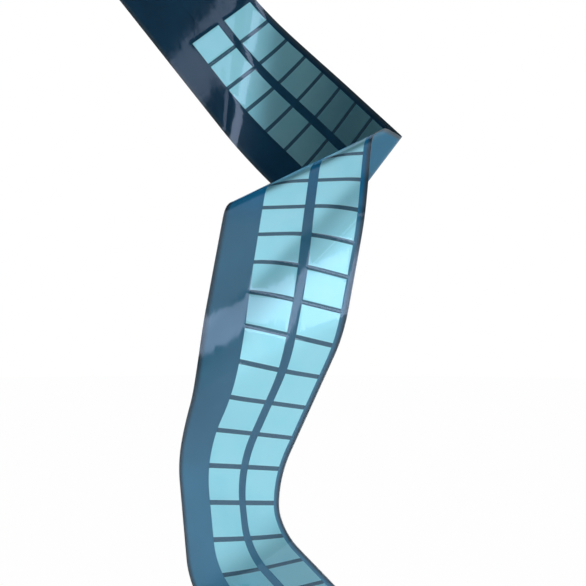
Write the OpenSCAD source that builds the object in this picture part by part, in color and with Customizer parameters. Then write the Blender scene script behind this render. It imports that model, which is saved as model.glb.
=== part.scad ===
// Flexible solar sheet: a long, thin laminate with two columns of thin-film cells.
// The sheet is held flat at its top end and hangs from there in soft folds.
//
// Every layer is drawn flat first, at (along, across, height), and then carried
// through the folds one after the other. A fold rolls the sheet round a cylinder
// whose axis crosses the sheet at a skew, so the sheet bends without stretching.

/* [Sheet] */
// Width of the sheet
sheet_w = 100; // [92:1:110]
// Blank lead between the held end and the first row of cells
lead_len = 90; // [60:1:120]
// Blank tail below the last row of cells
tail_len = 27; // [16:1:60]

/* [Cells] */
// Length of one cell along the sheet
cell_len = 20.8; // [18:0.1:21]
// Gap between one row of cells and the next
row_gap = 3.2; // [3:0.1:5]
// Width of one cell across the sheet
cell_w = 30; // [24:0.5:32]
// Gap between the two columns of cells
column_gap = 7; // [4:0.5:10]
// Narrow blank margin beside the second column
narrow_margin = 5.5; // [3:0.5:8]

/* [Layers] */
// Thickness of the front film and of the back film
film_t = 0.2; // [0.15:0.01:0.3]
// Thickness of each of the two adhesive layers
adhesive_t = 0.1; // [0.08:0.01:0.2]
// Thickness of the cells, their link bars and their terminal foils
cell_t = 0.1; // [0.08:0.01:0.2]

/* [Terminals] */
// How far each terminal foil stands out of the held end
terminal_len = 8; // [4:1:15]
// Length of the foil that joins the two columns at the free end
cross_link_len = 5; // [3:0.5:10]

/* [Hidden] */

rows = 27;
pitch = cell_len + row_gap;
row_lines = lead_len + rows * pitch;
sheet_len = row_lines + tail_len;

// The sheet flexes at two of its row gaps, where each layer is slit.
slit = 0.6;
fold_gap = 9;
tail_gap = 21;
fold_line = lead_len + fold_gap * pitch;
tail_line = lead_len + tail_gap * pitch;

// Each fold: distance from the first row line to the fold on the centre line,
// skew of its axis from straight across, turn towards the front, length rolled.
folds = [
    [ 56,  42,  29, 45],
    [118,  42,  33, 75],
    [207,   0,  90, 12],
    [272,  40, -46, 12],
    [302,  32, -47, 20],
    [390,  54, -50, 40],
    [458,  36, -29, 28],
    [527, -14,  42, 48],
    [588,  20,  50, 36]
];

// How the held end is turned, so that the rest of the sheet hangs down -Z.
held_turn = [74, 51, 10];

// Lines across the sheet that the cells and the layers share.
wide_margin = sheet_w - narrow_margin - column_gap - 2 * cell_w;
left_cell = [wide_margin, wide_margin + cell_w / 2, wide_margin + cell_w];
right_cell = [for (t = left_cell) t + cell_w + column_gap];
across = concat([0], left_cell, right_cell, [sheet_w]);
left_foil = [left_cell[1], left_cell[2]];
right_foil = [right_cell[0], right_cell[1]];

// Heights of the layers, from the laminate's middle.
cell_z = [-cell_t / 2, cell_t / 2];
front_adhesive_z = [cell_z[1], cell_z[1] + adhesive_t];
front_film_z = [front_adhesive_z[1], front_adhesive_z[1] + film_t];
back_adhesive_z = [cell_z[0] - adhesive_t, cell_z[0]];
back_film_z = [back_adhesive_z[0] - film_t, back_adhesive_z[0]];

film_blue = [0.16, 0.33, 0.48, 0.55];
cell_blue = [0.56, 0.84, 0.91];
clear_resin = [0.75, 0.85, 0.92, 0.35];
blue_resin = [0.13, 0.38, 0.55];
deep_blue = [0.10, 0.20, 0.31];
tinned = [0.72, 0.74, 0.76];

// A row needs more steps along it where the sheet bends sharply.
function steps_in(row) =
    row == fold_gap ? 5 :
    row > fold_gap && row < fold_gap + 6 ? 4 :
    row > fold_gap ? 2 : 1;

// Lines across the sheet at one row, numbered from 1.
function row_start(row) = lead_len + (row - 1) * pitch + row_gap / 2;
function row_steps(row) =
    [for (i = [0 : steps_in(row)]) row_start(row) + i * cell_len / steps_in(row)];
function slit_after(row) =
    row == fold_gap ? [fold_line - slit / 2, fold_line + slit / 2] :
    row == tail_gap ? [tail_line - slit / 2, tail_line + slit / 2] : [];

along = concat(
    [for (i = [0 : 2]) i * lead_len / 3],
    [for (row = [1 : rows]) each concat(row_steps(row), slit_after(row))],
    [row_start(rows) + cell_len + cross_link_len, sheet_len]
);
function along_from(start, stop) =
    [for (s = along) if (s > start - 0.01 && s < stop + 0.01) s];

lead_span = along_from(0, fold_line - slit / 2);
drape_span = along_from(fold_line + slit / 2, tail_line - slit / 2);
tail_span = along_from(tail_line + slit / 2, sheet_len);

// Carries point p through one fold. s and t say where p lies on the flat sheet.
function folded(p, s, t, fold) =
    let (at = lead_len + fold[0], skew = fold[1], len = fold[3])
    let (rolled = (s - at) * cos(skew) + t * sin(skew) + len / 2)
    let (run = max(0, min(len, rolled)), turn = fold[2] * run / len)
    let (radius = len / (fold[2] * PI / 180))
    let (on = (p.x - at) * cos(skew) + p.y * sin(skew) + len / 2 - run)
    let (side = p.y * cos(skew) - (p.x - at) * sin(skew))
    let (out = on * cos(turn) - p.z * sin(turn) + radius * sin(turn) - len / 2)
    let (up = on * sin(turn) + p.z * cos(turn) + radius * (1 - cos(turn)))
    [at + out * cos(skew) - side * sin(skew), out * sin(skew) + side * cos(skew), up];

// Carries a point through every fold, the last one first.
function draped(p, s, t, i = len(folds) - 1) =
    i < 0 ? p : draped(folded(p, s, t, folds[i]), s, t, i - 1);

// A draped strip between the given lines along and across, and two heights.
module strip(lines_along, lines_across, heights) {
    n = len(lines_along);
    m = len(lines_across);
    grid = [
        for (z = heights, s = lines_along, t = lines_across)
            draped([s, t - sheet_w / 2, z], s, t - sheet_w / 2)
    ];
    function at(side, i, j) = (side * n + i) * m + j;
    function square(a, b, c, d) = [[a, b, c], [a, c, d]];
    back = [
        for (i = [0 : n - 2], j = [0 : m - 2])
            each square(at(0, i, j), at(0, i + 1, j), at(0, i + 1, j + 1), at(0, i, j + 1))
    ];
    front = [for (face = back) [face[2] + n * m, face[1] + n * m, face[0] + n * m]];
    ends = [
        for (j = [0 : m - 2]) each concat(
            square(at(0, 0, j), at(0, 0, j + 1), at(1, 0, j + 1), at(1, 0, j)),
            square(at(0, n - 1, j + 1), at(0, n - 1, j), at(1, n - 1, j), at(1, n - 1, j + 1))
        )
    ];
    sides = [
        for (i = [0 : n - 2]) each concat(
            square(at(0, i + 1, 0), at(0, i, 0), at(1, i, 0), at(1, i + 1, 0)),
            square(at(0, i, m - 1), at(0, i + 1, m - 1), at(1, i + 1, m - 1), at(1, i, m - 1))
        )
    ];
    rotate(held_turn) polyhedron(grid, concat(back, front, ends, sides), convexity = 10);
}

// One layer over the full width of a stretch of the sheet.
module layer(span, heights, tint) {
    color(tint) strip(span, across, heights);
}

// The two cells of one row.
module cells_row(row) {
    color(cell_blue) for (cell = [left_cell, right_cell]) strip(row_steps(row), cell, cell_z);
}

// Bars that join each cell to the next one in its column, one in every row gap.
// At a slit the bar is in two halves.
module link_bars(first, last) {
    for (row = [first : last], column = [left_cell, right_cell]) {
        cut = slit_after(row);
        gap = [row_start(row) + cell_len, row_start(row + 1)];
        before = [gap[0], cut[0]];
        after = [cut[1], gap[1]];
        color(deep_blue) {
            if (cut == []) strip(gap, column, cell_z);
            if (cut != [] && row == last) strip(before, column, cell_z);
            if (cut != [] && row == first) strip(after, column, cell_z);
        }
    }
}

// The foil that joins the last cells of the two columns.
module column_cross_link() {
    start = row_start(rows) + cell_len;
    lines = [left_cell[1], left_cell[2], right_cell[0], right_cell[1]];
    color(tinned) strip([start, start + cross_link_len], lines, cell_z);
}

// A foil from the first cell of a column up through the lead, and out of its end.
module terminal_foil(lines) {
    stops = concat([-terminal_len], [for (s = along) if (s < row_start(1) + 0.01) s]);
    color(tinned) strip(stops, lines, cell_z);
}

layer(lead_span, front_film_z, film_blue);  // lead_front_film
layer(drape_span, front_film_z, film_blue);  // drape_front_film
layer(tail_span, front_film_z, film_blue);  // tail_front_film
layer(lead_span, front_adhesive_z, clear_resin);  // lead_front_adhesive
layer(drape_span, front_adhesive_z, clear_resin);  // drape_front_adhesive
layer(tail_span, front_adhesive_z, clear_resin);  // tail_front_adhesive
link_bars(1, fold_gap);  // lead_link_bars
link_bars(fold_gap, tail_gap);  // drape_link_bars
link_bars(tail_gap, rows - 1);  // tail_link_bars
column_cross_link();
terminal_foil(left_foil);  // positive_terminal_foil
terminal_foil(right_foil);  // negative_terminal_foil
layer(lead_span, back_adhesive_z, blue_resin);  // lead_back_adhesive
layer(drape_span, back_adhesive_z, blue_resin);  // drape_back_adhesive
layer(tail_span, back_adhesive_z, blue_resin);  // tail_back_adhesive
layer(lead_span, back_film_z, film_blue);  // lead_back_film
layer(drape_span, back_film_z, film_blue);  // drape_back_film
layer(tail_span, back_film_z, film_blue);  // tail_back_film
for (row = [1 : rows]) {
    name = str("cells_row_", row < 10 ? "0" : "", row);
    cells_row(row);
}
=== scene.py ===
"""Flexible solar sheet: a clear and a blue film with two columns of thin-film cells between.

Each layer is built flat with bmesh, at (along, across, height) in millimetres, and is then
carried through the same folds as the CAD model. A fold rolls the sheet round a cylinder whose
axis crosses the sheet at a skew, so the sheet bends without stretching.
"""
from math import cos, pi, radians, sin

import bmesh
import bpy
import numpy as np
from mathutils import Euler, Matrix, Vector


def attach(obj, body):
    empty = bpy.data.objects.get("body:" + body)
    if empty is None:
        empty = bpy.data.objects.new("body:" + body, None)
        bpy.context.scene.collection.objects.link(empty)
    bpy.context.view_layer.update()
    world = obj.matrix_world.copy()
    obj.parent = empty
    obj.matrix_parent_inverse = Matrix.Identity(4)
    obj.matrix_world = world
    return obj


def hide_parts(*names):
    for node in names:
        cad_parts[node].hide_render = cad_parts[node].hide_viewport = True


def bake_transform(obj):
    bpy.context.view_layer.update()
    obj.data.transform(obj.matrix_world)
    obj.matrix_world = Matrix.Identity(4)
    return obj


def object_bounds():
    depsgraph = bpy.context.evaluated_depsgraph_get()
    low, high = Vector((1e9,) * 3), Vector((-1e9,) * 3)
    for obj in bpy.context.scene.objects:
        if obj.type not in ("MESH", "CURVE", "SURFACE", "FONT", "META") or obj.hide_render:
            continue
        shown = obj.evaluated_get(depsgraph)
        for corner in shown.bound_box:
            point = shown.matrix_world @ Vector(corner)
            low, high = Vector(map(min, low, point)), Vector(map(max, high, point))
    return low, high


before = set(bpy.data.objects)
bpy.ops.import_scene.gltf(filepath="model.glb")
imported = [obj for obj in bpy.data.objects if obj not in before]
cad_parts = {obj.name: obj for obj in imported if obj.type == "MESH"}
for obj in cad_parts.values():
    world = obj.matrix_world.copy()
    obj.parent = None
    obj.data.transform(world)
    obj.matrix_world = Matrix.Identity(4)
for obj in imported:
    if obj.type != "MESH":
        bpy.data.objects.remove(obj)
cad_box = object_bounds()

MM = 0.001

# ---------------------------------------------------------------- the sheet, in millimetres

SHEET_W = 100
LEAD_LEN = 90
TAIL_LEN = 27
ROWS = 27
CELL_LEN = 20.8
ROW_GAP = 3.2
CELL_W = 30
COLUMN_GAP = 7
NARROW_MARGIN = 5.5
FILM_T = 0.2
ADHESIVE_T = 0.1
CELL_T = 0.1
TERMINAL_LEN = 8
CROSS_LINK_LEN = 5

PITCH = CELL_LEN + ROW_GAP
SHEET_LEN = LEAD_LEN + ROWS * PITCH + TAIL_LEN
LEFT_CELL = SHEET_W - NARROW_MARGIN - COLUMN_GAP - 2 * CELL_W
RIGHT_CELL = LEFT_CELL + CELL_W + COLUMN_GAP
COLUMNS = (LEFT_CELL, RIGHT_CELL)

# The layers' heights from the laminate's middle. The front film carries its clear adhesive as
# one piece. The adhesives are drawn a little thin, so that no two layers share a face.
SKIN = 0.02
CELL_Z = (-CELL_T / 2, CELL_T / 2)
FRONT_FILM_Z = (CELL_Z[1] + SKIN, CELL_Z[1] + ADHESIVE_T + FILM_T)
BACK_ADHESIVE_Z = (CELL_Z[0] - ADHESIVE_T + SKIN, CELL_Z[0] - SKIN)
BACK_FILM_Z = (CELL_Z[0] - ADHESIVE_T - FILM_T, CELL_Z[0] - ADHESIVE_T)

# Each fold: distance from the first row line to the fold on the centre line, skew of its axis
# from straight across, turn towards the front, length rolled. The folds and the held end's turn
# are the rounded results of a fit made outside this script. They were not chosen by hand.
FOLDS = (
    (56, 42, 29, 45),
    (118, 42, 33, 75),
    (207, 0, 90, 12),
    (272, 40, -46, 12),
    (302, 32, -47, 20),
    (390, 54, -50, 40),
    (458, 36, -29, 28),
    (527, -14, 42, 48),
    (588, 20, 50, 36),
)
HELD_TURN = (74, 51, 10)

# The sheet flexes at two row gaps, and the continuous layers are joined at a third.
FOLD_GAP = 9
SEAM_GAP = 15
TAIL_GAP = 21
SEAM = LEAD_LEN + SEAM_GAP * PITCH

# How far the front film sinks beside a cell, how far the back adhesive rises in the wide
# margin, and how wide those steps are.
RELIEF = 0.05
GLUE_RISE = 0.06
SHOULDER = 0.9

# Grid spacing of the pieces: along and across the sheet, along it where it bends sharply, and
# along the short parts. The sharp bends lie between these two places.
ALONG_STEP = 2.4
ACROSS_STEP = 2.5
SHARP_STEP = 1.0
SHORT_STEP = 0.8
SHARP_START, SHARP_END = 280, 430


def row_start(row):
    """Where a row's cells begin along the sheet; rows count from 1."""
    return LEAD_LEN + (row - 1) * PITCH + ROW_GAP / 2


# ---------------------------------------------------------------- folding


def folded(p, s, t, fold):
    """Carries points p through one fold. s and t say where they lie on the flat sheet."""
    at, length = LEAD_LEN + fold[0], fold[3]
    skew, whole_turn = radians(fold[1]), radians(fold[2])
    rolled = (s - at) * cos(skew) + t * sin(skew) + length / 2
    run = np.clip(rolled, 0, length)
    turn, radius = whole_turn * run / length, length / whole_turn
    x, y, z = p
    on = (x - at) * cos(skew) + y * sin(skew) + length / 2 - run
    side = y * cos(skew) - (x - at) * sin(skew)
    out = on * np.cos(turn) - z * np.sin(turn) + radius * np.sin(turn) - length / 2
    up = on * np.sin(turn) + z * np.cos(turn) + radius * (1 - np.cos(turn))
    return at + out * cos(skew) - side * sin(skew), out * sin(skew) + side * cos(skew), up


def draped(flat):
    """Carries flat points, an array of (along, across, height), to where the sheet hangs."""
    s, t = flat[:, 0], flat[:, 1] - SHEET_W / 2
    p = (s, t, flat[:, 2])
    for fold in reversed(FOLDS):
        p = folded(p, s, t, fold)
    turned = Euler([radians(a) for a in HELD_TURN], "XYZ").to_matrix()
    return np.stack(p, axis=1) @ np.array(turned).T * MM


def stops(start, end, step):
    """Evenly spaced places from start to end, no further apart than step."""
    count = max(1, round(abs(end - start) / step + 0.499))
    return [start + (end - start) * i / count for i in range(count + 1)]


def with_stops(marks, steps):
    """The marks, with evenly spaced places between them; steps gives each span's spacing."""
    places = [marks[0]]
    for a, b in zip(marks, marks[1:]):
        places += stops(a, b, steps(a, b))[1:]
    return places


def bend_step(a, b):
    """Grid spacing along the sheet: fine through the sharp bends, and wider elsewhere."""
    return SHARP_STEP if SHARP_START < (a + b) / 2 < SHARP_END else ALONG_STEP


def slab(bm, along, across, heights):
    """Adds a flat closed slab with a grid line at each place along and across."""
    n, m = len(along) - 1, len(across) - 1
    made = bmesh.ops.create_grid(bm, x_segments=n, y_segments=m, size=0.5)["verts"]
    for v in made:
        v.co = (along[round((v.co.x + 0.5) * n)], across[round((v.co.y + 0.5) * m)], heights[0])
    faces = list({f for v in made for f in v.link_faces})
    grown = bmesh.ops.extrude_face_region(bm, geom=faces)["geom"]
    for v in grown:
        if isinstance(v, bmesh.types.BMVert):
            v.co.z = heights[1]


def finish_flat(bm, mats):
    """Turns faces outwards, gives each side its material, and writes the flat layout as UVs.
    Where two pieces meet at the seam, their ends look like the covered side."""
    bmesh.ops.recalc_face_normals(bm, faces=bm.faces[:])
    flat = bm.loops.layers.uv.new("flat")
    for face in bm.faces:
        face.normal_update()
        face.smooth = True
        if len(mats) == 3:
            at_seam = abs(face.calc_center_median().x - SEAM) < 0.01
            covered = face.normal.z < -0.5 or at_seam
            face.material_index = 1 if covered else 0 if face.normal.z > 0.5 else 2
        for loop in face.loops:
            loop[flat].uv = (loop.vert.co.x * MM, loop.vert.co.y * MM)


def make_piece(name, bm, mats, lift=None):
    """Drapes a flat bmesh and makes it an object. lift moves heights before the draping."""
    finish_flat(bm, mats)
    for edge in bm.edges:
        sharp = len(edge.link_faces) == 2 and edge.calc_face_angle(0) > radians(50)
        edge.smooth = not sharp
    mesh = bpy.data.meshes.new(name)
    bm.to_mesh(mesh)
    bm.free()
    flat = np.empty(len(mesh.vertices) * 3)
    mesh.vertices.foreach_get("co", flat)
    flat = flat.reshape(-1, 3)
    if lift:
        flat[:, 2] += lift(*flat.T)
    mesh.vertices.foreach_set("co", draped(flat).ravel())
    for mat in mats:
        mesh.materials.append(mat)
    mesh.update()
    piece = bpy.data.objects.new(name, mesh)
    bpy.context.collection.objects.link(piece)
    return piece


def step_down(distance):
    """0 inside an edge and 1 outside it, over the width of the film's shoulder."""
    x = np.clip(distance / SHOULDER, 0, 1)
    return x * x * (3 - 2 * x)


def beside_cells(s, t):
    """0 over a cell, and 1 past the shoulder round it."""
    row = (s - LEAD_LEN) % PITCH
    before, after = ROW_GAP / 2 - row, row - (ROW_GAP / 2 + CELL_LEN)
    in_rows = (s > LEAD_LEN) & (s < LEAD_LEN + ROWS * PITCH)
    along = np.where(in_rows, np.maximum(before, after), SHOULDER)
    across = np.minimum(*[np.maximum(c - t, t - (c + CELL_W)) for c in COLUMNS])
    return step_down(np.maximum(along, across))


def film_relief(s, t, z):
    """The front film lies lower beside the cells than over them."""
    return -RELIEF * beside_cells(s, t)


def glue_fill(s, t, z):
    """The back adhesive rises in the wide margin, where there is neither cell nor foil."""
    over_margin = step_down(LEFT_CELL - t)
    return np.where(z > sum(BACK_ADHESIVE_Z) / 2, GLUE_RISE * over_margin, 0)


# ---------------------------------------------------------------- materials


def node_of(mat, kind, **values):
    """Adds a node and sets its properties and inputs; an input's name has _ for a space."""
    node = mat.node_tree.nodes.new(kind)
    for key, value in values.items():
        if hasattr(node, key):
            setattr(node, key, value)
        else:
            node.inputs[key.replace("_", " ")].default_value = value
    return node


def new_material(name):
    mat = bpy.data.materials.new(name)
    mat.use_nodes = True
    mat.node_tree.nodes.clear()
    return mat


def join(mat, out, into):
    mat.node_tree.links.new(out, into)


def flat_layout(mat):
    return node_of(mat, "ShaderNodeUVMap", uv_map="flat").outputs["UV"]


def noise(mat, where, scale, detail=2.0, stretch=(1, 1, 1)):
    """Noise over the flat sheet, its scale per metre."""
    mapping = node_of(mat, "ShaderNodeMapping")
    mapping.inputs["Scale"].default_value = stretch
    join(mat, where, mapping.inputs["Vector"])
    tex = node_of(mat, "ShaderNodeTexNoise", Scale=scale, Detail=detail)
    join(mat, mapping.outputs["Vector"], tex.inputs["Vector"])
    return tex.outputs["Fac"]


def ramp(mat, fac, low, high, places=(0.0, 1.0)):
    """A blend from one colour to another as fac goes between the two places."""
    node = node_of(mat, "ShaderNodeValToRGB")
    ends = node.color_ramp.elements
    for end, place, tint in zip(ends, places, (low, high)):
        end.position, end.color = place, (*tint, 1)
    join(mat, fac, node.inputs["Fac"])
    return node.outputs["Color"]


def spread(mat, fac, low, high, places=(0.0, 1.0)):
    """A number that goes from low to high as fac goes between the two places."""
    node = node_of(mat, "ShaderNodeMapRange", interpolation_type="SMOOTHSTEP")
    node.inputs["From Min"].default_value, node.inputs["From Max"].default_value = places
    node.inputs["To Min"].default_value, node.inputs["To Max"].default_value = low, high
    join(mat, fac, node.inputs["Value"])
    return node.outputs["Result"]


def mixed(mat, fac, a, b):
    """Colour a where fac is 0 and b where it is 1; a and b are colours or outputs."""
    node = node_of(mat, "ShaderNodeMix", data_type="RGBA")
    join(mat, fac, node.inputs["Factor"])
    for value, socket in ((a, node.inputs[6]), (b, node.inputs[7])):
        if isinstance(value, tuple):
            socket.default_value = (*value, 1)
        else:
            join(mat, value, socket)
    return node.outputs[2]


def calc(mat, operation, a, b=None):
    node = node_of(mat, "ShaderNodeMath", operation=operation)
    for i, value in enumerate((a, b)):
        if isinstance(value, (int, float)):
            node.inputs[i].default_value = value
        elif value is not None:
            join(mat, value, node.inputs[i])
    return node.outputs[0]


def bump(mat, height, strength, distance):
    node = node_of(mat, "ShaderNodeBump", Strength=strength, Distance=distance)
    join(mat, height, node.inputs["Height"])
    return node.outputs["Normal"]


def edge_distance(mat, where):
    """Distance in metres from the nearer long edge of the sheet."""
    parts = node_of(mat, "ShaderNodeSeparateXYZ")
    join(mat, where, parts.inputs["Vector"])
    far = calc(mat, "SUBTRACT", SHEET_W * MM, parts.outputs["Y"])
    return calc(mat, "MINIMUM", parts.outputs["Y"], far)


def surface(mat, shader):
    out = node_of(mat, "ShaderNodeOutputMaterial")
    join(mat, shader, out.inputs["Surface"])
    return mat


def clear_face():
    """The front film's outer face: clear plastic with a sharp gloss that its anti-reflection
    coat turns violet, and a faint waviness. Only its outer side mirrors."""
    mat = new_material("clear_film_face")
    where = flat_layout(mat)
    waves = noise(mat, where, 60, 2, (1, 2.2, 1))
    normal = bump(mat, waves, 0.1, 0.0004)
    through = node_of(mat, "ShaderNodeBsdfTransparent", Color=(0.975, 0.985, 0.99, 1))
    gloss = node_of(mat, "ShaderNodeBsdfAnisotropic", Color=(0.55, 0.74, 1, 1))
    scuffs = noise(mat, where, 900, 4, (1, 0.2, 1))
    join(mat, spread(mat, scuffs, 0.03, 0.07, (0.35, 0.75)), gloss.inputs["Roughness"])
    join(mat, normal, gloss.inputs["Normal"])
    fresnel = node_of(mat, "ShaderNodeFresnel", IOR=1.75)
    join(mat, normal, fresnel.inputs["Normal"])
    inside = node_of(mat, "ShaderNodeNewGeometry").outputs["Backfacing"]
    outside = calc(mat, "SUBTRACT", 1.0, inside)
    mix = node_of(mat, "ShaderNodeMixShader")
    join(mat, calc(mat, "MULTIPLY", fresnel.outputs["Fac"], outside), mix.inputs["Fac"])
    join(mat, through.outputs["BSDF"], mix.inputs[1])
    join(mat, gloss.outputs["BSDF"], mix.inputs[2])
    return surface(mat, mix.outputs["Shader"])


def bonded_face():
    """A clear face that is glued over its whole area, so that it mirrors nothing."""
    mat = new_material("bonded_face")
    where = flat_layout(mat)
    tint = ramp(mat, noise(mat, where, 40, 3), (0.985, 0.99, 0.992), (0.993, 0.996, 0.998))
    through = node_of(mat, "ShaderNodeBsdfTransparent")
    join(mat, tint, through.inputs["Color"])
    return surface(mat, through.outputs["BSDF"])


def cut_edge():
    """The cut edges of the films and of the glue between them."""
    mat = new_material("cut_edge")
    where = flat_layout(mat)
    tint = ramp(mat, noise(mat, where, 700, 3), (0.10, 0.14, 0.17), (0.22, 0.26, 0.28))
    shader = node_of(mat, "ShaderNodeBsdfPrincipled", IOR=1.5)
    join(mat, tint, shader.inputs["Base Color"])
    join(mat, spread(mat, noise(mat, where, 1500, 2), 0.35, 0.6), shader.inputs["Roughness"])
    return surface(mat, shader.outputs["BSDF"])


# Where the blue layers change tone, in metres: along the sheet, in from a long edge, to each
# side of the gap between the columns, and where the rows begin. The tones along the sheet are
# painted shade on the lead and painted light shining through the fold by the crease.
TO_BACKLIT_CREASE_TONE = (0.30, 0.36)
TO_LOWER_TONE = (0.405, 0.45)
RIM = (0.0008, 0.0045)
COLUMN_GAP_EDGE = (0.0034, 0.0038)
ROWS_BEGIN = (0.088, 0.092)
# Painted shade between the columns of cells: its tone, and how much of it goes into the blue.
COLUMN_GAP_SHADE_TONE = (0.02, 0.10, 0.17)
COLUMN_GAP_SHADE_SHARE = 0.3


def blue_layer(name, upper, crease, lower, edge, gloss):
    """A blue layer: cloudy, in one tone along the lead, another by the crease and a third
    below it. The bright tone by the crease is painted light shining through the fold, and a lead
    tone darker than the one below is painted shade. It is greyer along the long edges, and
    darker between the columns of cells, where the darkening is painted shade."""
    mat = new_material(name)
    where = flat_layout(mat)
    parts = node_of(mat, "ShaderNodeSeparateXYZ")
    join(mat, where, parts.inputs["Vector"])
    # Painted light and shade along the sheet: the lead's tone, then light through the fold by the
    # crease, then the tone below.
    into_backlit_crease = spread(mat, parts.outputs["X"], 0.0, 1.0, TO_BACKLIT_CREASE_TONE)
    past_crease = spread(mat, parts.outputs["X"], 0.0, 1.0, TO_LOWER_TONE)
    tint = mixed(mat, past_crease, mixed(mat, into_backlit_crease, upper, crease), lower)
    clouds = spread(mat, noise(mat, where, 18, 4), 0.88, 1.12, (0.3, 0.7))
    cloudy = node_of(mat, "ShaderNodeVectorMath", operation="SCALE")
    join(mat, tint, cloudy.inputs[0])
    join(mat, clouds, cloudy.inputs["Scale"])
    # Painted shade: the blue darkens in the gap between the columns, beside the rows of cells.
    middle = (COLUMNS[0] + CELL_W + COLUMN_GAP / 2) * MM
    off_middle = calc(mat, "ABSOLUTE", calc(mat, "SUBTRACT", parts.outputs["Y"], middle))
    gap = spread(mat, off_middle, 1.0, 0.0, COLUMN_GAP_EDGE)
    beside_rows = spread(mat, parts.outputs["X"], 0.0, COLUMN_GAP_SHADE_SHARE, ROWS_BEGIN)
    darker = calc(mat, "MULTIPLY", gap, beside_rows)
    tint = mixed(mat, darker, cloudy.outputs["Vector"], COLUMN_GAP_SHADE_TONE)
    rim = spread(mat, edge_distance(mat, where), 1.0, 0.0, RIM)
    shader = node_of(mat, "ShaderNodeBsdfPrincipled", IOR=1.45)
    shader.inputs["Specular IOR Level"].default_value = 0.5 * gloss
    shader.inputs["Coat Weight"].default_value = 0.5 * gloss
    shader.inputs["Coat Roughness"].default_value = 0.08
    join(mat, mixed(mat, rim, tint, edge), shader.inputs["Base Color"])
    join(mat, spread(mat, noise(mat, where, 300, 4), 0.5, 0.65), shader.inputs["Roughness"])
    join(mat, bump(mat, noise(mat, where, 1500, 2), 0.05, 0.00002), shader.inputs["Normal"])
    return surface(mat, shader.outputs["BSDF"])


def cell_face():
    """A thin-film cell: pale cyan metal with a soft sheen and a faint coating drift."""
    mat = new_material("cell_coating")
    where = flat_layout(mat)
    drift = noise(mat, where, 45, 3)
    tint = ramp(mat, drift, (0.33, 0.78, 0.90), (0.38, 0.81, 0.92), (0.3, 0.7))
    shader = node_of(mat, "ShaderNodeBsdfPrincipled", Metallic=1.0, IOR=1.5)
    join(mat, tint, shader.inputs["Base Color"])
    join(mat, spread(mat, noise(mat, where, 220, 4), 0.36, 0.42), shader.inputs["Roughness"])
    join(mat, bump(mat, noise(mat, where, 1500, 2), 0.05, 0.00002), shader.inputs["Normal"])
    return surface(mat, shader.outputs["BSDF"])


def bar_face():
    """The link bars: a dark blue conductor printed over foil."""
    mat = new_material("link_bar_print")
    where = flat_layout(mat)
    tint = ramp(mat, noise(mat, where, 90, 3), (0.030, 0.105, 0.165), (0.042, 0.130, 0.195))
    shader = node_of(mat, "ShaderNodeBsdfPrincipled", Metallic=0.6, IOR=1.5)
    join(mat, tint, shader.inputs["Base Color"])
    join(mat, spread(mat, noise(mat, where, 1200, 3), 0.35, 0.5), shader.inputs["Roughness"])
    return surface(mat, shader.outputs["BSDF"])


def foil_face():
    """The terminal foils: tinned metal with fine rolling lines along the foil."""
    mat = new_material("tinned_foil")
    where = flat_layout(mat)
    lines = noise(mat, where, 900, 3, (0.08, 1, 1))
    tint = ramp(mat, lines, (0.34, 0.42, 0.47), (0.5, 0.57, 0.6), (0.3, 0.7))
    shader = node_of(mat, "ShaderNodeBsdfPrincipled", Metallic=1.0)
    join(mat, tint, shader.inputs["Base Color"])
    join(mat, spread(mat, lines, 0.25, 0.4), shader.inputs["Roughness"])
    join(mat, bump(mat, lines, 0.2, 0.00005), shader.inputs["Normal"])
    return surface(mat, shader.outputs["BSDF"])


CLEAR = clear_face()
BONDED = bonded_face()
CUT = cut_edge()
# The adhesive's deep navy along the lead is painted shade, and its vivid blue by the crease is
# painted light shining through the fold.
BLUE_GLUE = blue_layer(
    "blue_adhesive", (0.009, 0.050, 0.100), (0.012, 0.24, 0.50), (0.068, 0.250, 0.400),
    (0.05, 0.08, 0.10), 0.0
)
# The back film's brighter blue by the crease is painted light shining through the fold.
BLUE_FILM = blue_layer(
    "blue_film", (0.02, 0.24, 0.43), (0.015, 0.30, 0.52), (0.04, 0.22, 0.36),
    (0.10, 0.16, 0.2), 1.0
)
CELL = cell_face()
BAR = bar_face()
FOIL = foil_face()

# ---------------------------------------------------------------- pieces


def hang_upper(piece):
    """The part of a layer above the seam, draped through the bend between the lead and the draped
    run. Bakes its transform into its mesh.
    """
    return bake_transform(piece)


def hang_lower(piece):
    """The part below the seam, draped through the bend between the draped run and the tail. Bakes its
    transform into its mesh.
    """
    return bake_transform(piece)


def shoulders(edges, start, end):
    """Grid marks either side of each cell edge, so that the film's steps have a shape."""
    marks = {start, end}
    for edge, outward in edges:
        for part in (0, 0.5, 1):
            place = edge + outward * SHOULDER * part
            if start + 0.05 < place < end - 0.05:
                marks.add(round(place, 4))
    return sorted(marks)


ROW_EDGES = [
    (row_start(row) + offset, outward)
    for row in range(1, ROWS + 1)
    for offset, outward in ((0, -1), (CELL_LEN, 1))
]
COLUMN_EDGES = [
    (column + offset, outward)
    for column in COLUMNS
    for offset, outward in ((0, -1), (CELL_W, 1))
]


def film_grid(start, end):
    """The grid of a full-width layer between two places along the sheet."""
    along = with_stops(shoulders(ROW_EDGES, start, end), bend_step)
    across = with_stops(shoulders(COLUMN_EDGES, 0, SHEET_W), lambda a, b: ACROSS_STEP)
    return along, across


def make_layer(name, stands_for, heights, mats, lift=None):
    """One layer of the laminate, in an upper and a lower piece that meet at the seam."""
    for part, start, end, hang, runs in (
        ("upper", 0, SEAM, hang_upper, ("lead", "drape")),
        ("lower", SEAM, SHEET_LEN, hang_lower, ("tail",)),
    ):
        bm = bmesh.new()
        slab(bm, *film_grid(start, end), heights)
        piece = make_piece(f"{name}_{part}", bm, mats, lift)
        hang(piece)
        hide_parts(*[f"{run}_{node}" for run in runs for node in stands_for])


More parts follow.
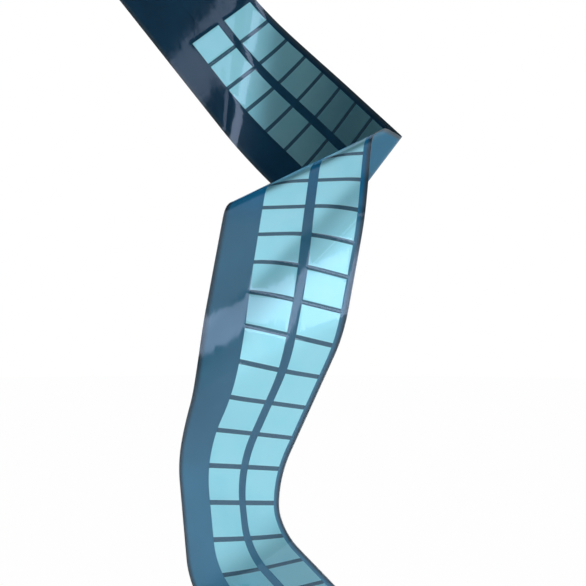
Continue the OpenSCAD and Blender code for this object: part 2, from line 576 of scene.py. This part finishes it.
make_layer(
    "front_film", ("front_film", "front_adhesive"), FRONT_FILM_Z,
    (CLEAR, BONDED, CUT), film_relief,
)
make_layer(
    "back_adhesive", ("back_adhesive",), BACK_ADHESIVE_Z,
    (BLUE_GLUE, BLUE_GLUE, CUT), glue_fill,
)
make_layer("back_film", ("back_film",), BACK_FILM_Z, (BLUE_FILM, BLUE_FILM, CUT))


def body_of(row):
    """The body that a row of cells rides on."""
    return "lead_run" if row <= FOLD_GAP else "draped_run" if row <= TAIL_GAP else "tail_run"


def make_cells_row(row):
    """The two cells of one row."""
    name = f"cells_row_{row:02d}"
    start = row_start(row)
    bm = bmesh.new()
    for column in COLUMNS:
        along = stops(start, start + CELL_LEN, bend_step(start, start))
        across = stops(column, column + CELL_W, ACROSS_STEP)
        slab(bm, along, across, CELL_Z)
    piece = make_piece(name, bm, (CELL,))
    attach(piece, body_of(row))
    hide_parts(name)


for row in range(1, ROWS + 1):
    make_cells_row(row)


def make_link_bars(part, first, last, hang, nodes):
    """The bars that join each cell to the next one in its column, one in every row gap."""
    bm = bmesh.new()
    for row in range(first, last + 1):
        start, end = row_start(row) + CELL_LEN, row_start(row + 1)
        for column in COLUMNS:
            across = stops(column, column + CELL_W, ACROSS_STEP)
            slab(bm, stops(start, end, SHORT_STEP), across, CELL_Z)
    piece = make_piece(f"link_bars_{part}", bm, (BAR,))
    hang(piece)
    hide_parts(*nodes)


make_link_bars("upper", 1, SEAM_GAP, hang_upper, ("lead_link_bars", "drape_link_bars"))
make_link_bars("lower", SEAM_GAP + 1, ROWS - 1, hang_lower, ("tail_link_bars",))


def make_foil(name, start, end, across, body):
    """A strip of foil, tinned where it stands out of the sheet. Inside the sheet it is printed
    to match the blue layer behind it."""
    bm = bmesh.new()
    outside = stops(start, 0, SHORT_STEP) if start < 0 else []
    slab(bm, outside[:-1] + stops(max(start, 0), end, ALONG_STEP), across, CELL_Z)
    # Inside the sheet the foil wears the blue adhesive's material, and with it that material's
    # painted shade.
    piece = make_piece(name, bm, (BLUE_GLUE,))
    piece.data.materials.append(FOIL)
    layout = piece.data.uv_layers["flat"].data
    for face in piece.data.polygons:
        middle = sum(layout[i].uv.x for i in face.loop_indices) / len(face.loop_indices)
        face.material_index = int(middle < 0)
    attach(piece, body)
    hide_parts(name)


HALF_CELL = CELL_W / 2
first_cell, last_cell = row_start(1), row_start(ROWS) + CELL_LEN
make_foil(
    "positive_terminal_foil", -TERMINAL_LEN, first_cell,
    stops(LEFT_CELL + HALF_CELL, LEFT_CELL + CELL_W, ACROSS_STEP), "lead_run",
)
make_foil(
    "negative_terminal_foil", -TERMINAL_LEN, first_cell,
    stops(RIGHT_CELL, RIGHT_CELL + HALF_CELL, ACROSS_STEP), "lead_run",
)
make_foil(
    "column_cross_link", last_cell, last_cell + CROSS_LINK_LEN,
    stops(LEFT_CELL + HALF_CELL, RIGHT_CELL + HALF_CELL, ACROSS_STEP), "tail_run",
)

# ---------------------------------------------------------------- stage, lights and camera

CENTRE = (cad_box[0] + cad_box[1]) / 2
FLOOR_DROP = 0.26

# The studio, by direction. The window's levels go from the side away from it to its middle.
# Each strip light lies along a circle round its pole. The patch is the short one.
WINDOW = (80, 0)
WINDOW_LEVELS = (
    (0.0, 0.02), (0.25, 0.025), (0.5, 0.06), (0.62, 0.14), (0.75, 0.36), (0.85, 0.7), (1.0, 1.0)
)
FLAG = (42.5, 30.5)
CEILING = (-60, 70)
CEILING_LEVEL = 0.72
STRIP_POLE = (0.5955, 0.371, 0.7125)
STRIP_REACH = (0.273, 0.352)
PATCH = (43.2, 29.6)
PATCH_POLE = (-0.754, -0.2295, 0.6148)
PATCH_SHARE = 0.5
STRIP_LEVEL = 2.5
STRIP_TINT = (1.0, 0.9, 0.92)


def make_floor():
    """A plain pale floor below the hanging sheet. It shows almost white."""
    mat = new_material("pale_floor")
    path = node_of(mat, "ShaderNodeLightPath")
    diffuse = node_of(mat, "ShaderNodeBsdfDiffuse", Color=(0.86, 0.86, 0.86, 1))
    glow = node_of(mat, "ShaderNodeEmission", Color=(1, 1, 1, 1), Strength=1.0)
    mix = node_of(mat, "ShaderNodeMixShader")
    seen = calc(mat, "MAXIMUM", path.outputs["Is Camera Ray"], path.outputs["Is Transmission Ray"])
    mirrored = calc(mat, "MULTIPLY", path.outputs["Is Glossy Ray"], 0.85)
    white = calc(mat, "MAXIMUM", calc(mat, "MULTIPLY", seen, 0.985), mirrored)
    join(mat, white, mix.inputs["Fac"])
    join(mat, diffuse.outputs["BSDF"], mix.inputs[1])
    join(mat, glow.outputs["Emission"], mix.inputs[2])
    surface(mat, mix.outputs["Shader"])
    bm = bmesh.new()
    bmesh.ops.create_circle(bm, cap_ends=True, segments=96, radius=6)
    bmesh.ops.translate(bm, verts=bm.verts[:], vec=(0, 0, cad_box[0].z - FLOOR_DROP))
    mesh = bpy.data.meshes.new("floor")
    bm.to_mesh(mesh)
    bm.free()
    mesh.materials.append(mat)
    floor = bpy.data.objects.new("floor", mesh)
    bpy.context.collection.objects.link(floor)


def towards(azimuth, elevation):
    """A direction from the sheet. Azimuth 0 is the camera's side, and 90 is to its right."""
    a, e = radians(azimuth), radians(elevation)
    return Vector((sin(a) * cos(e), -cos(a) * cos(e), sin(e)))


def make_world():
    """White where it is seen. As a light it is a studio: a wide soft window on the right with a
    dark flag in it, a soft ceiling and two narrow strip lights. The strips are pale, and the
    film's gloss turns their reflections violet."""
    world = bpy.data.worlds.new("studio")
    bpy.context.scene.world = world
    world.use_nodes = True
    world.node_tree.nodes.clear()
    where = node_of(world, "ShaderNodeTexCoord").outputs["Generated"]

    def along(axis):
        node = node_of(world, "ShaderNodeVectorMath", operation="DOT_PRODUCT")
        join(world, where, node.inputs[0])
        node.inputs[1].default_value = axis
        return node.outputs["Value"]

    def band(value, low, high, soft):
        rise = spread(world, value, 0.0, 1.0, (low - soft, low + soft))
        fall = spread(world, value, 1.0, 0.0, (high - soft, high + soft))
        return calc(world, "MULTIPLY", rise, fall)

    window = node_of(world, "ShaderNodeValToRGB")
    elements = window.color_ramp.elements
    for place, level in WINDOW_LEVELS:
        stop = elements[-1] if place == 1 else elements[0] if place == 0 else elements.new(place)
        warmth = min(1.0, level / 0.4)
        stop.color = (level * (0.5 + 0.43 * warmth), level * (0.82 + 0.16 * warmth), level, 1)
    half = calc(world, "MULTIPLY", along(towards(*WINDOW)), 0.5)
    join(world, calc(world, "ADD", half, 0.5), window.inputs["Fac"])

    ceiling = spread(world, along(towards(*CEILING)), 0.0, CEILING_LEVEL, (0.84, 0.97))
    unflagged = spread(world, along(towards(*FLAG)), 1.0, 0.15, (0.985, 0.995))

    long_strip = band(along(Vector(STRIP_POLE)), *STRIP_REACH, 0.006)
    patch_near = spread(world, along(towards(*PATCH)), 0.0, 1.0, (0.985, 0.993))
    patch = calc(world, "MULTIPLY", band(along(Vector(PATCH_POLE)), -0.018, 0.021, 0.003), patch_near)
    strips = calc(world, "ADD", long_strip, calc(world, "MULTIPLY", patch, PATCH_SHARE))

    total = node_of(world, "ShaderNodeAddShader")
    room = node_of(world, "ShaderNodeBackground", Strength=1.0)
    plus = node_of(world, "ShaderNodeMix", data_type="RGBA", blend_type="ADD")
    plus.inputs["Factor"].default_value = 1
    join(world, mixed(world, unflagged, (0.0, 0.0, 0.0), window.outputs["Color"]), plus.inputs[6])
    join(world, ceiling, plus.inputs[7])
    join(world, plus.outputs[2], room.inputs["Color"])
    tubes = node_of(world, "ShaderNodeBackground", Color=(*STRIP_TINT, 1))
    join(world, calc(world, "MULTIPLY", strips, STRIP_LEVEL), tubes.inputs["Strength"])
    join(world, room.outputs["Background"], total.inputs[0])
    join(world, tubes.outputs["Background"], total.inputs[1])

    path = node_of(world, "ShaderNodeLightPath")
    white = node_of(world, "ShaderNodeBackground", Color=(1, 1, 1, 1), Strength=1.0)
    seen = calc(world, "MAXIMUM", path.outputs["Is Camera Ray"], path.outputs["Is Transmission Ray"])
    mix = node_of(world, "ShaderNodeMixShader")
    join(world, seen, mix.inputs["Fac"])
    join(world, total.outputs["Shader"], mix.inputs[1])
    join(world, white.outputs["Background"], mix.inputs[2])
    out = node_of(world, "ShaderNodeOutputWorld")
    join(world, mix.outputs["Shader"], out.inputs["Surface"])


def soft_box(name, azimuth, elevation, distance, size, watts):
    """A soft box aimed at the sheet. Azimuth 0 is the camera's side, and 90 is to its right."""
    away = towards(azimuth, elevation)
    data = bpy.data.lights.new(name, "AREA")
    data.shape, (data.size, data.size_y) = "RECTANGLE", size
    data.energy = watts
    light = bpy.data.objects.new(name, data)
    light.location = CENTRE + away * distance
    light.rotation_euler = away.to_track_quat("Z", "Y").to_euler()
    light.visible_camera = False
    bpy.context.collection.objects.link(light)


make_floor()
make_world()
soft_box("fill", 165, 30, 1.8, (1.6, 1.6), 4)


def make_camera():
    """Level with the middle of the sheet and square to it, as long as a portrait lens."""
    data = bpy.data.cameras.new("camera")
    data.lens, data.sensor_width = 73.72, 36
    camera = bpy.data.objects.new("camera", data)
    camera.location = (0.12416, -0.98715, -0.29007)
    camera.rotation_euler = (radians(90), 0, 0)
    bpy.context.collection.objects.link(camera)
    bpy.context.scene.camera = camera


make_camera()
bpy.context.scene.view_settings.view_transform = "Standard"
